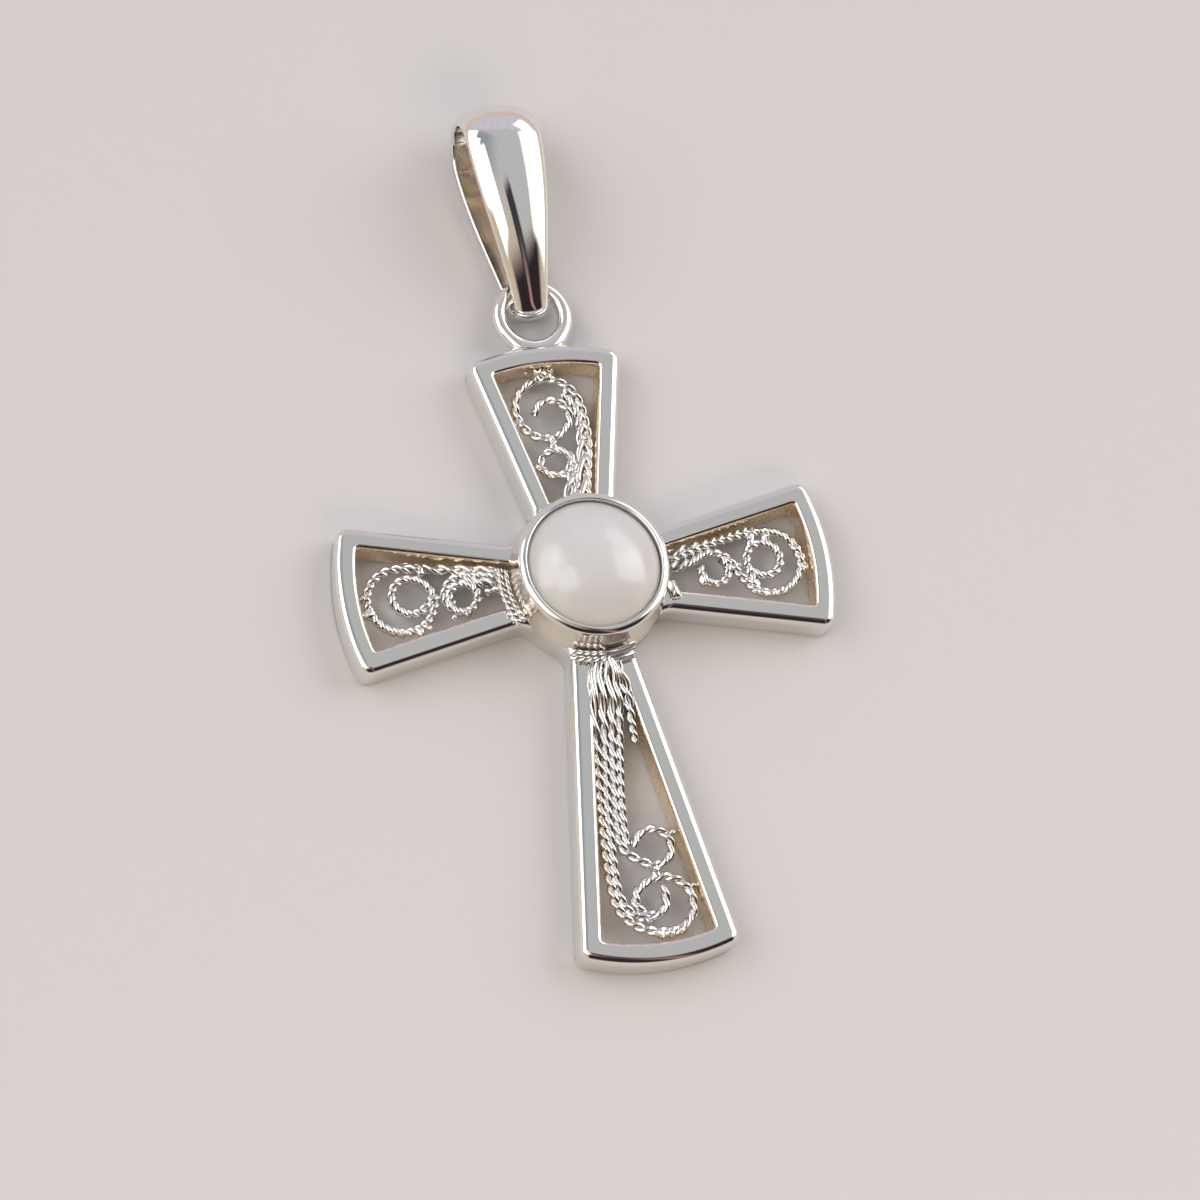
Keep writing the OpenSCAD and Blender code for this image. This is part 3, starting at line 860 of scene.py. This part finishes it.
@dataclass
class Bail:
    """The teardrop loop of domed band that hangs in the ring."""

    low: Pair = (15.05, 0.43)
    high: Pair = (22.75, 1.6)
    bow: float = 21.0
    wall: float = 0.42
    crown: float = 0.44
    crown_from: float = 0.75
    crown_run: float = 1.1
    crown_power: float = 1.2
    top_width: float = 3.8
    foot_width: float = 1.45
    widen_from: float = 13.4
    widen_run: float = 9.6
    widen_power: float = 0.8
    edge_share: float = 0.55
    soft: float = 0.12
    fullness: float = 2.5
    pivot: Pair = (-0.08, 15.0)
    lean: float = 2.7
    finish: Silver = Silver("mirror_silver", roughness=(0.025, 0.05), wave=3.0, wave_size=2.2)
    inside: Silver = BRUSHED

    def _stations(self) -> list[tuple[Vector, float]]:
        """Walks round the loop on the band's inner face.

        Returns:
            Rows of the place along Y and Z, and the direction that the outside looks in.
        """
        low, high = (Vector((y, self.wall + r)) for y, r in (self.low, self.high))
        a, b, d = self.bow - self.low[1], self.bow - self.high[1], (high - low).length
        along = (high - low) / d
        x = (d * d + a * a - b * b) / (2 * d)
        centre = low + along * x + Vector((along.y, -along.x)) * math.sqrt(a * a - x * x)
        first, last = (math.degrees(math.atan2((p - centre).y, (p - centre).x)) for p in (high, low))
        bottom = [(p, mix(last, 270, i / 18)) for i, p in enumerate(arc(tuple(low), self.low[1], last, 270, 18))]
        top = [(p, mix(-90, first, i / 40)) for i, p in enumerate(arc(tuple(high), self.high[1], -90, first, 40))]
        back = [(bottom[-1][0].lerp(top[0][0], i / 14), 270.0) for i in range(1, 14)]
        leg = [(p, mix(first, last, i / 40)) for i, p in enumerate(arc(tuple(centre), self.bow, first, last, 40))]
        return bottom + back + top + leg[1:-1]

    def _section(self, y: float, angle: float) -> list[Pair]:
        """Lays out the band's section.

        Args:
            y: the station's place along the loop's length.
            angle: the direction that its outside looks in.

        Returns:
            Rows of the place across the band and the height over its inner face.
        """
        share = smooth((y - self.widen_from) / self.widen_run) ** self.widen_power
        width = mix(self.foot_width, self.top_width, share)
        front = smooth((math.sin(math.radians(angle)) + self.crown_from) / self.crown_run)
        swell = self.crown * front * (width / self.top_width) ** self.crown_power
        half, soft, rise = width / 2, self.soft, self.wall * self.edge_share
        points = [tuple(p) for p in arc((-half + soft, soft), soft, 270, 180, 5)]
        for i in range(-14, 15):
            turn = math.radians(90 * i / 14)
            u, round_edge = math.sin(turn), (self.wall - rise) * math.cos(turn) ** 0.8
            points.append((half * u, rise + round_edge + swell * (1 - abs(u) ** self.fullness)))
        return points + [tuple(p) for p in arc((half - soft, soft), soft, 0, -90, 5)]

    def build(self) -> Piece:
        """Bends the band round its loop.

        Returns:
            The finished piece.
        """
        stations = self._stations()
        rows = [self._section(p.x, a) for p, a in stations]
        steps = {"major_segments": len(rows), "minor_segments": len(rows[0])}
        size = {"major_radius": MM, "minor_radius": MM / 4}
        band = Bench.start(bpy.ops.mesh.primitive_torus_add, "bail_loop", **steps, **size)
        c, s = math.cos(math.radians(self.lean)), math.sin(math.radians(self.lean))
        points = []
        for (place, angle), row in zip(stations, rows):
            for x, height in row:
                spot = place + turned(height, angle)
                y = spot.x - self.pivot[1]
                points.append((self.pivot[0] + c * x - s * y, self.pivot[1] + s * x + c * y, spot.y))
        Bench.place(band, points)
        dress(band, self.finish, self.inside)
        last = len(rows[0]) - 1
        for face in band.data.polygons:
            face.material_index = int({v % (last + 1) for v in face.vertices} == {0, last})
        Bench.mend(band)
        Bench.modify(band, "SUBSURF", levels=1, render_levels=1)
        Bench.soften(band, 60)
        return Piece(band, "bail", self.finish.slot)


@dataclass
class Twist:
    """A wire of two strands wound round each other, looser along its first run where it has a loose pitch.

    A stop is a bend of x, y, radius and the angles from and to, or a point of x, y and the heading there.
    """

    stops: Sequence[Row]
    thickness: float = 0.5
    pitch: float = 0.86
    loose: float = 0.0
    run: float = 3.0
    hand: int = 1
    # How far the painted shade between the strands spreads
    dark: float = 1.0


@dataclass
class Scrolls:
    """One window's scrolls of twisted wire, their solder and the wires over the arm's root."""

    way: Window
    node: str
    wires: Sequence[Twist]
    beads: Sequence[tuple[float, float, float, float]]
    spots: Sequence[tuple[float, float, float]]
    saddle: Pair | None = None
    smooth_from: float = 90.0
    height: float = 0.85
    lift: float = 0.017
    rise: float = 0.5
    rise_start: float = 4.25
    rise_run: float = 3.5
    climb: float = 0.0
    climb_from: Pair = (4.8, 9.0)
    saddle_radii: Pair = (4.1, 4.44)
    saddle_sizes: Pair = (0.27, 0.37)
    saddle_height: float = 1.93
    saddle_full: float = 0.42
    saddle_pitch: float = 0.72
    # Spreads the painted shade between the strands wider on the saddle wires
    saddle_dark: float = 1.25
    saddle_phase: float = 70.0
    loose_radii: tuple[float, ...] = (4.12, 4.3, 4.5, 4.66)
    loose_strand: float = 0.1
    bead_radius: float = 0.22
    bead_lumps: float = 0.12
    spot_rise: float = 0.16
    spot_lumps: float = 0.2
    strand: float = 0.28
    spread: float = 0.75
    turn_steps: int = 18
    phase: float = 47.0
    # Shares of the thickness where the painted shade between the strands starts and where it is full
    groove_shade: Pair = (0.34, 0.22)
    finish: Wire = Wire()

    def _level(self, spot: Vector) -> float:
        """Returns how high a wire's middle line lies at a place: higher towards the hub, and over the arm's root."""
        away = spot.length
        level = self.height + self.rise * (1 - smooth((away - self.rise_start) / self.rise_run))
        low, high = self.climb_from
        return level + self.climb * (1 - smooth((away - low) / (high - low)))

    @staticmethod
    def _end(stop: Row, last: bool) -> tuple[Vector, float]:
        """Gives one end of a stop.

        Args:
            stop: the bend or point.
            last: whether its last end is meant.

        Returns:
            The end's point and the heading there.
        """
        if len(stop) == 3:
            return Vector(stop[:2]), stop[2]
        x, y, radius, start, end = stop
        angle = end if last else start
        return Vector((x, y)) + turned(radius, angle), angle + (90 if end > start else -90)

    def _route(self, stops: Sequence[Row]) -> list[Vector]:
        """Joins a wire's stops by smooth links.

        Args:
            stops: its bends and points.

        Returns:
            The points of the wire's middle line.
        """
        points: list[Vector] = []
        for i, stop in enumerate(stops):
            if i:
                (p, hp), (q, hq) = self._end(stops[i - 1], True), self._end(stop, False)
                turn = (hq - hp + 180) % 360 - 180
                chord = (q - p).length
                reach = chord / 3
                if abs(turn) >= 1:
                    bend = math.radians(abs(turn))
                    reach = chord * 2 / 3 * math.tan(bend / 4) / math.sin(bend / 2)
                a, b = p + turned(reach, hp), q - turned(reach, hq)
                for k in range(1, 14):
                    u = k / 14
                    points.append(p * (1 - u) ** 3 + a * 3 * (1 - u) ** 2 * u + b * 3 * (1 - u) * u**2 + q * u**3)
            if len(stop) == 3:
                points.append(Vector(stop[:2]))
            else:
                points += arc(stop[:2], stop[2], stop[3], stop[4], max(3, round(abs(stop[4] - stop[3]) / 6)))
        return points

    @staticmethod
    def _even(points: Sequence[Vector], step: float) -> list[Vector]:
        """Returns the same line with its points an even step apart."""
        even, left = [points[0]], step
        for a, b in zip(points, points[1:]):
            length, done = (b - a).length, 0.0
            while length - done >= left:
                done += left
                even.append(a.lerp(b, done / length))
                left = step
            left -= length - done
        return even

    def _wind(self, points: Sequence[Vector], twist: Twist, level: Level, phase: float) -> list[list[Point]]:
        """Winds two strands round a middle line.

        Args:
            points: the middle line.
            twist: the wire's thickness, pitch and hand.
            level: gives the height of the middle line at a place.
            phase: the angle that the twist starts at.

        Returns:
            The two strands' points, and the middle line after them.
        """
        step = twist.pitch / self.turn_steps
        line = self._even(points, step)
        strands: list[list[Point]] = [[], [], []]
        angle = math.radians(phase)
        for i, p in enumerate(line):
            along = (line[min(i + 1, len(line) - 1)] - line[max(i - 1, 0)]).normalized()
            side = Vector((-along.y, along.x))
            slack = 1 - smooth(i * step / twist.run) if twist.loose else 0.0
            reach = twist.thickness * (0.5 - self.strand) * (1 + self.spread * slack)
            height = level(p)
            for k in (0, 1):
                spot = p + side * (math.cos(angle + math.pi * k) * reach)
                strands[k].append((spot.x, spot.y, height + math.sin(angle + math.pi * k) * reach))
            strands[2].append((p.x, p.y, height))
            angle += twist.hand * math.tau * step / mix(twist.pitch, twist.loose, slack)
        return strands

    def _draw(self, name: str, strands: Sequence[Sequence[Point]], radius: float) -> Body:
        """Draws strands of round wire.

        Args:
            name: the piece's name.
            strands: the points of each strand.
            radius: the strand's radius.

        Returns:
            The strands as one mesh.
        """
        piece = Bench.start(bpy.ops.curve.primitive_nurbs_path_add, name)
        curve = piece.data
        curve.splines.clear()
        curve.dimensions = "3D"
        for strand in strands:
            spline = curve.splines.new("POLY")
            spline.points.add(len(strand) - 1)
            for point, place in zip(spline.points, strand):
                point.co = (*(Vector(place) * MM), 1.0)
            spline.use_smooth = True
        curve.bevel_depth = radius * MM
        curve.bevel_resolution = 3
        curve.use_fill_caps = True
        bpy.ops.object.convert(target="MESH")
        piece = bpy.context.active_object
        piece.name = piece.data.name = name
        return piece

    def _mark_groove_shade(self, piece: Body, middles: Sequence[Sequence[Point]], thickness: float) -> None:
        """Notes how deep between the strands each vertex lies, as the mask for the painted shade.

        Args:
            piece: the twisted wires.
            middles: the middle line of each wire.
            thickness: the width over both strands, larger to spread the painted shade further.
        """
        spots = [Vector(p) * MM for line in middles for p in line]
        tree = kdtree.KDTree(len(spots))
        for i, spot in enumerate(spots):
            tree.insert(spot, i)
        tree.balance()
        shallow, deep = (share * thickness * MM for share in self.groove_shade)
        mark = piece.data.attributes.new("groove_shade", "FLOAT", "POINT")
        for i, vertex in enumerate(piece.data.vertices):
            mark.data[i].value = smooth((shallow - tree.find(vertex.co)[2]) / (shallow - deep))

    def _rope(self, name: str, points: Sequence[Vector], twist: Twist, level: Level, phase: float) -> Body:
        """Makes one twisted wire.

        Args:
            name: the piece's name.
            points: its middle line.
            twist: its thickness, pitch and hand.
            level: gives the height of the middle line at a place.
            phase: the angle that the twist starts at.

        Returns:
            The wire, with its grooves marked.
        """
        *pair, middle = self._wind(points, twist, level, phase)
        rope = self._draw(name, pair, twist.thickness * self.strand)
        self._mark_groove_shade(rope, [middle], twist.thickness * twist.dark)
        return rope

    def _saddle(self) -> list[Body]:
        """Lays the wires over the arm's root: twisted ones and, past an angle, smooth strands.

        Returns:
            The wires, as separate meshes.
        """
        parts: list[Body] = []
        smooth_ones: list[list[Point]] = []
        first, last = (self.way.value + angle for angle in self.saddle)
        turn = min(last, self.way.value + self.smooth_from)
        for i, (radius, size) in enumerate(zip(self.saddle_radii, self.saddle_sizes)):
            height = self.saddle_height + (size - self.saddle_full) / 2
            twist = Twist((), size, self.saddle_pitch, hand=-1, dark=self.saddle_dark)
            line = arc((0, 0), radius, first, turn, 40)
            parts.append(self._rope("saddle", line, twist, lambda spot, z=height: z, self.saddle_phase * i))
        if turn < last:
            for k, radius in enumerate(self.loose_radii):
                sway = arc((0, 0), radius, turn - 4, last - 1.5 * k, 24)
                waves = (self.saddle_height + 0.05 * math.cos(j / 5 + 2 * k) - 0.02 * k for j in range(len(sway)))
                smooth_ones.append([(p.x, p.y, z) for p, z in zip(sway, waves)])
            parts.append(self._draw("smooth_strands", smooth_ones, self.loose_strand))
        return parts

    def build(self) -> Piece:
        """Bends, lays and solders the wires.

        Returns:
            The finished piece.
        """
        parts: list[Body] = []
        for i, wire in enumerate(self.wires):
            route, lift = self._route(wire.stops), (i - len(self.wires) / 2) * self.lift
            parts.append(self._rope("wire", route, wire, lambda p, up=lift: self._level(p) + up, self.phase * i))
        for x, y, u, v in self.beads:
            start, end = ((*spot, self._level(Vector(spot))) for spot in ((x, y), (u, v)))
            parts.append(Bench.bead("solder", start, end, self.bead_radius, self.bead_lumps))
        for x, y, radius in self.spots:
            z = self._level(Vector((x, y))) + self.spot_rise
            parts.append(Bench.bead("spot", (x, y, z), (x, y, z), radius, self.spot_lumps))
        if self.saddle:
            parts += self._saddle()
        piece = Bench.join(parts, "scrolls_" + self.way.name.lower())
        Bench.soften(piece, 70)
        dress(piece, self.finish)
        return Piece(piece, self.node, self.finish.slot)


def all_scrolls() -> list[Scrolls]:
    """Sets out the four windows' scrolls.

    Returns:
        The scrolls of each window, along the same routes as the solids.
    """
    top = Scrolls(
        Window.TOP,
        "filigree_top",
        (
            Twist(
                (
                    (0.85, 4.25, 83), (1.62, 8.2, 92), (-0.13, 9.26, 1.64, 30, 215),
                    (-0.02, 8.83, 0.88, 335, 530),
                ),
                thickness=0.5, pitch=1.2, hand=-1,
            ),
            Twist(((0.6, 4.25, 80), (-0.34, 8.66, 1.66, -5, 52)), pitch=1.1, loose=3.4, run=4.5),
            Twist(
                ((0.35, 4.3, 75), (-0.22, 6.2, 0.82, -15, 200), (-0.28, 6.2, 0.64, 260, 375)),
                thickness=0.46, pitch=1.1,
            ),
            Twist(((-0.1, 4.3, 75), (0.4, 5.7, 62)), thickness=0.46, pitch=1.1, loose=2.6, run=2.0),
        ),
        (
            (-0.45, 10.9, -0.35, 11.06), (0.15, 10.9, 0.25, 11.06), (-0.25, 7.1, -0.25, 7.7),
            (-1.75, 8.7, -1.83, 8.6), (-1.05, 6, -1.15, 6.1), (0.95, 10.1, 1.05, 10), (1.45, 7.5, 1.55, 7.5),
        ),
        (
            (-0.35, 11.2, 0.24), (-0.1, 11.1, 0.2), (0.3, 11.2, 0.17), (-0.26, 7.36, 0.2), (-1.28, 6.1, 0.14),
            (-0.95, 11.2, 0.1),
        ),
    )
    left = Scrolls(
        Window.LEFT,
        "filigree_left",
        (
            Twist(
                (
                    (-4.25, 0.72, 165), (-6.5, 1.3, 168), (-9.17, 0.03, 1.65, 85, 345),
                    (-8.7, 0.2, 0.9, 445, 695),
                ),
                pitch=0.84, loose=2.1, run=7.5,
            ),
            Twist(
                ((-4.25, 0.85, 167), (-9, 1.91, 168)),
                thickness=0.34, pitch=1.1, loose=2.4, run=3.0, hand=-1,
            ),
            Twist(((-4.25, 0.5, 165), (-6.1, -0.04, 0.93, 85, 255), (-6.15, -0.2, 0.68, 330, 560)), pitch=0.84),
            Twist(((-4.25, 0.2, 175), (-6, 0.72, 150)), thickness=0.46, loose=1.6, run=2.0),
            Twist(((-4.25, -0.1, 185), (-5.1, -0.2, 188)), thickness=0.42),
        ),
        (
            (-10.85, 0.25, -11.05, 0.3), (-10.75, -0.5, -11, -0.6), (-8, 1.6, -8, 1.35),
            (-7.7, -0.05, -7.55, -0.1), (-8.6, -1.6, -8.5, -1.7), (-6.2, -0.95, -6.1, -1.05),
        ),
        (
            (-11.1, 0.25, 0.17), (-11.08, -0.6, 0.17), (-8.1, -1.58, 0.15), (-6.8, -1.2, 0.15),
            (-7.4, -0.1, 0.14), (-9.3, -1.7, 0.16),
        ),
        saddle=(-9, 30),
    )
    right = Scrolls(
        Window.RIGHT,
        "filigree_right",
        (
            Twist(((4.25, 0.45, 20), (6.5, 1.24, 16), (8.3, 1.62, 9), (9.37, -0.02, 1.7, 85, -15)), pitch=0.9),
            Twist(
                ((4.25, 0.75, 18), (6, 1.24, 14), (8.85, 1.88, 11)),
                thickness=0.44, loose=1.8, run=3.0, hand=-1,
            ),
            Twist(
                ((4.25, 0.06, 5), (6.5, -0.3, 1.1, 125, 20), (9.35, 0.05, 1.6, 215, 393)),
                pitch=0.9, loose=1.5, run=1.5, hand=-1,
            ),
            Twist(((8.5, -1, 112), (9.13, 0.22, 0.85, 175, -150)), pitch=0.9),
            Twist(((6.5, -0.13, 0.73, 50, -195),), thickness=0.48, pitch=0.9),
        ),
        (
            (11, 0.2, 11.05, 0.1), (11, -0.45, 10.97, -0.55), (9.4, 1.2, 9.5, 1.5), (8.6, 1.05, 8.7, 1.5),
            (8.3, -0.9, 8.5, -1.05), (8.6, -1.45, 8.8, -1.55), (7.2, 0.3, 7.35, 0.25), (5.8, -0.55, 5.8, -0.75),
        ),
        (
            (9.48, 1.35, 0.18), (8.6, 1.35, 0.16), (7.75, 0, 0.15), (8.3, -1.45, 0.15), (9.3, -1.65, 0.16),
            (11.1, -0.5, 0.18),
        ),
    )
    foot = Scrolls(
        Window.FOOT,
        "filigree_foot",
        (
            Twist(
                (
                    (-0.42, -4.75, -125), (-1.02, -7.0, -92), (-1.48, -12.5, -96), (0.5, -15.9, 2.15, 180, 225),
                    (0.82, -16.68, 1.38, 265, 465), (0.14, -16.4, 0.76, 490, 725), (0.95, -15.8, 795),
                ),
                thickness=0.55, pitch=1.2, loose=5.0, run=5.2, hand=-1,
            ),
            Twist(
                (
                    (-0.12, -4.6, -112), (-0.66, -8.5, -96), (-1.18, -12.5, -95), (-1.37, -15.4, -92),
                    (-0.95, -16.9, -50), (-0.3, -17.3, -20),
                ),
                pitch=1.25, loose=4.2, run=5.0, hand=-1,
            ),
            Twist(
                (
                    (0.14, -4.55, -95), (-0.3, -8.5, -97), (-0.76, -12.5, -95), (-0.82, -13.4, -85),
                    (0.75, -13.8, 0.9, 240, 470), (-0.25, -13.6, 580),
                ),
                thickness=0.52, pitch=1.28, loose=3.8, run=4.6, hand=-1,
            ),
            Twist(
                ((0.36, -4.6, -88), (0.05, -8.5, -97), (-0.46, -12.5, -94), (-0.54, -13.6, -92)),
                thickness=0.46, pitch=1.2, loose=3.0, run=4.0, hand=-1,
            ),
            Twist(((0.4, -4.7, -70), (0.84, -8.6, -84)), thickness=0.46, loose=2.4, run=3.8, hand=-1),
        ),
        (
            (0.3, -18.05, 0.3, -18.2), (0.8, -18.05, 0.8, -18.2), (1.3, -17.95, 1.35, -18.1),
            (0.6, -14.75, 0.65, -15.25), (1.62, -13.3, 1.66, -13.25), (2.12, -16.2, 2.14, -16.4),
            (-0.65, -17.1, -0.2, -17.2),
        ),
        (
            (0.6, -14.95, 0.2), (1.8, -13.25, 0.18), (2.3, -16, 0.16), (0.1, -18.15, 0.16), (0.7, -18.2, 0.17),
            (1.3, -18.1, 0.15), (-0.2, -17.45, 0.15),
        ),
        saddle=(-22, 22), smooth_from=2.0, rise_start=5.8, rise_run=6.0, climb=0.6,
    )
    return [top, left, right, foot]


@dataclass
class SoftPanel:
    """A soft panel, bright or dark: where it hangs, how large it is, and its colour in place of the sky's."""

    towards: Point
    width: float
    height: float
    colour: Colour
    soft: float = 0.25


@dataclass
class SoftLamp:
    """A soft lamp that looks at the stone: its place, size, power and colour, and whether silver mirrors it."""

    name: str
    place: Point
    size: Pair
    power: float
    colour: Colour = (1.0, 1.0, 1.0)
    mirrored: bool = True


@dataclass
class Studio:
    """The plain pale floor, the soft light round it and the camera."""

    floor_colour: Colour = (0.59, 0.575, 0.57)
    floor_roughness: float = 0.6
    floor_size: float = 900.0
    camera_place: Point = (-61.7803, -85.7956, 228.2481)
    camera_turn: Point = (22.28233, -11.26435, -10.84036)
    lens: float = 154.732
    sky: Colour = (0.59, 0.49, 0.37)
    ground: Colour = (0.68, 0.58, 0.46)
    horizon: Pair = (-0.05, 0.45)
    panel_side: Pair = (0.05, 0.12)
    panels: Sequence[SoftPanel] = (
        SoftPanel((0.22, 0.25, 0.94), 0.62, 0.66, (0.505, 0.508, 0.512), soft=0.4),
        SoftPanel((0.2, 0.82, 0.54), 0.9, 0.4, (0.6, 0.575, 0.67)),
        SoftPanel((0.15, 0.97, 0.17), 0.9, 0.07, (0.74, 0.5, 0.42)),
        SoftPanel((0.16, -0.74, 0.62), 0.9, 0.5, (0.03, 0.02, 0.026)),
        SoftPanel((0.12, -0.28, 0.95), 0.1, 0.24, (0.05, 0.045, 0.05)),
        SoftPanel((0.3, -0.7, 0.65), 0.05, 0.4, (0.42, 0.24, 0.23), soft=0.6),
        SoftPanel((-0.42, 0.36, 0.83), 0.24, 0.4, (0.3, 0.33, 0.36), soft=0.6),
        SoftPanel((-0.57, -0.12, 0.81), 0.26, 0.26, (2.7, 2.7, 2.78), soft=0.15),
        SoftPanel((-0.768, 0.3, 0.544), 0.5, 0.23, (2.75, 2.78, 2.85), soft=0.15),
        SoftPanel((0.8, 0.12, 0.58), 0.34, 0.38, (2.75, 2.75, 2.83), soft=0.2),
        SoftPanel((0.64, 0.57, 0.515), 0.24, 0.2, (2.1, 2.1, 2.18), soft=0.3),
    )
    lamps: Sequence[SoftLamp] = (
        SoftLamp("left_lamp", (-300, 160, 360), (120, 160), 0.1),
        SoftLamp("right_lamp", (430, 115, 245), (150, 170), 0.06),
        SoftLamp("warm_fill", (60, -360, 260), (380, 200), 0.75, (1.0, 0.78, 0.56), mirrored=False),
    )

    def _sky(self) -> None:
        """Hangs the panels round the object as one even surround."""
        world = bpy.data.worlds.new("studio")
        bpy.context.scene.world = world
        world.use_nodes = True
        g = Graph(world.node_tree)
        place = g.add("ShaderNodeTexCoord", "Generated")
        height = g.add("ShaderNodeSeparateXYZ", "Z", {0: place})
        light = g.blend(height.between(*self.horizon), self.ground, self.sky)
        for panel in self.panels:
            axis = Vector(panel.towards).normalized()
            side = axis.cross(Vector((0, 0, 1))).normalized()
            up = side.cross(axis)
            ahead, across, over = (
                g.add("ShaderNodeVectorMath", "Value", {0: place, 1: tuple(v)}, operation="DOT_PRODUCT")
                for v in (axis, side, up)
            )
            level = ahead.between(*self.panel_side)
            for offset, half in ((across, panel.width), (over, panel.height)):
                level = level * abs(offset / ahead).between(half * (1 + panel.soft), half * (1 - panel.soft))
            light = g.blend(level, light, panel.colour)
        surround = g.add("ShaderNodeBackground", 0, {"Color": light, "Strength": 1.0})
        g.add("ShaderNodeOutputWorld", 0, {"Surface": surround})

    @staticmethod
    def _hang(lamp: SoftLamp) -> None:
        """Hangs one lamp.

        Args:
            lamp: the lamp to hang.
        """
        data = bpy.data.lights.new(lamp.name, "AREA")
        data.shape = "RECTANGLE"
        data.size, data.size_y = lamp.size[0] * MM, lamp.size[1] * MM
        data.energy = lamp.power
        data.color = lamp.colour
        body = bpy.data.objects.new(lamp.name, data)
        body.location = Vector(lamp.place) * MM
        body.rotation_euler = (-Vector(lamp.place)).to_track_quat("-Z", "Y").to_euler()
        body.visible_glossy = lamp.mirrored
        bpy.context.scene.collection.objects.link(body)

    def _floor(self) -> None:
        """Lays the plain pale floor."""
        floor = Bench.start(bpy.ops.mesh.primitive_plane_add, "floor", size=self.floor_size * MM)
        skin = {"Base Color": (*self.floor_colour, 1.0), "Roughness": self.floor_roughness}
        floor.data.materials.append(new_material("pale_floor", lambda g: skin))

    def _camera(self) -> None:
        """Sets the camera at the photograph's angle."""
        data = bpy.data.cameras.new("camera")
        data.sensor_width = 36.0
        data.lens = self.lens
        data.clip_start, data.clip_end = 0.01, 10.0
        camera = bpy.data.objects.new("camera", data)
        camera.location = Vector(self.camera_place) * MM
        camera.rotation_euler = Euler([math.radians(a) for a in self.camera_turn])
        bpy.context.scene.collection.objects.link(camera)
        bpy.context.scene.camera = camera

    def build(self) -> None:
        """Sets up the camera, the floor and the light."""
        self._camera()
        self._floor()
        self._sky()
        for lamp in self.lamps:
            self._hang(lamp)
        bpy.context.scene.view_settings.view_transform = "Standard"


def main() -> None:
    """Builds, dresses and reports every piece of the pendant, then its studio."""
    logging.basicConfig(level=logging.INFO, format="%(name)s: %(message)s")
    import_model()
    Studio().build()
    for maker in (CrossBody(), Cabochon(), Bail(), *all_scrolls()):
        maker.build().hand_over()


if __name__ == "__main__":
    main()
